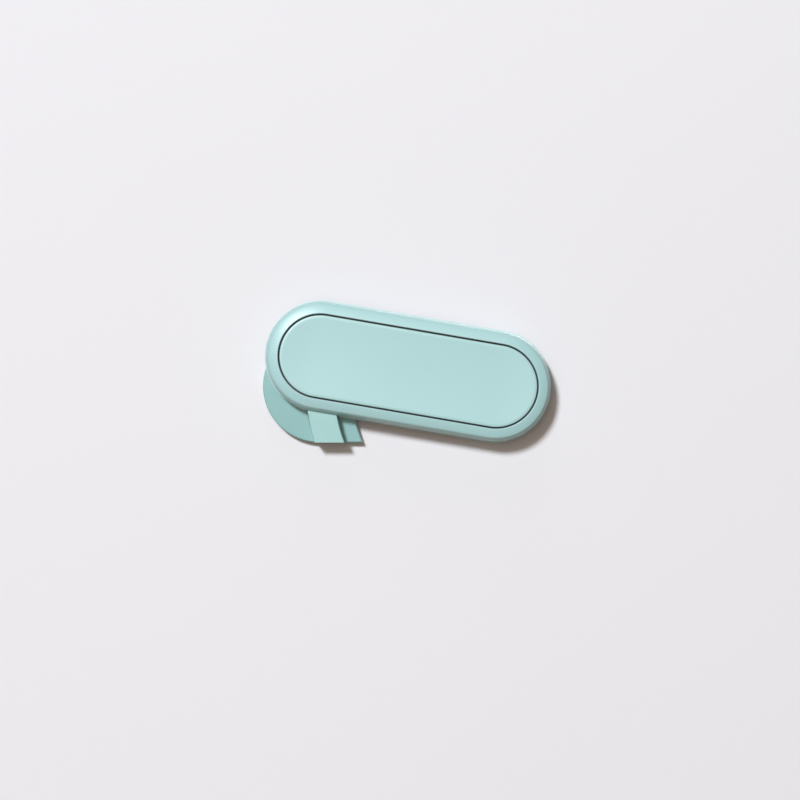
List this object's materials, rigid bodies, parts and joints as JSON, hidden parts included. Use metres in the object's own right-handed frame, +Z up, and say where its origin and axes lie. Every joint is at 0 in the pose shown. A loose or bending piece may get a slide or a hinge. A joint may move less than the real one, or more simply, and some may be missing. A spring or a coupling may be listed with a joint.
{
  "type": "cabinet safety lock",
  "caption": "Swing-arm cabinet door lock: a press-panel arm on one door's pivot plate hooks over an arc rail on the other door's catch plate.",
  "frame": {"origin": "where the arm's pivot axis meets the back of the pivot plate's adhesive pad, on the door's face", "axes": "+X to the right along the doors, from the catch plate towards the pivot; +Y into the door; +Z up. The front of the lock faces -Y. The arm is stored lifted 9.66 degrees above its closed place"},
  "size_m": [0.117, 0.0146, 0.0576],
  "materials": {
    "mint_plastic": "satin moulded ABS",
    "foam_tape": "white closed-cell foam tape",
    "white_acetal": "natural white acetal",
    "steel": "zinc-plated and spring steel"
  },
  "bodies": {
    "door_plates": {"catch_plate": "mint_plastic", "catch_pad": "foam_tape", "pivot_plate": "mint_plastic", "pivot_pad": "foam_tape", "thrust_washer": "white_acetal", "wave_washer": "steel", "retaining_washer": "steel", "pivot_screw": "steel"},
    "arm": {"rear_cover": "mint_plastic", "cover_screws": "steel", "arm_frame": "mint_plastic", "pawl_keeper": "steel", "keeper_screws": "steel", "pawl_spring": "steel", "panel_spring_inner_upper": "steel", "panel_spring_inner_lower": "steel", "panel_spring_outer_upper": "steel", "panel_spring_outer_lower": "steel"},
    "panel": {"press_panel": "mint_plastic"},
    "pawl": {"latch_pawl": "white_acetal"}
  },
  "joints": [
    {"name": "arm_swing", "type": "hinge", "parent": "door_plates", "child": "arm", "pos_m": [0, 0, 0], "axis": [0, 1, 0], "range_deg": [-9.66, 80.34]},
    {"name": "panel_press", "type": "slide", "parent": "arm", "child": "panel", "axis": [0, 1, 0], "range_m": [0, 0.0015], "stiffness_N_per_m": 1600, "springref_m": -0.003, "deforming": ["panel_spring_inner_upper", "panel_spring_inner_lower", "panel_spring_outer_upper", "panel_spring_outer_lower"]},
    {"name": "pawl_slide", "type": "slide", "parent": "arm", "child": "pawl", "axis": [-0.9858, 0, 0.1678], "range_m": [0, 0.0015], "deforming": ["pawl_spring"]}
  ],
  "couplings": [
    {"joint": "pawl_slide", "follows": "panel_press", "ratio": 1}
  ]
}
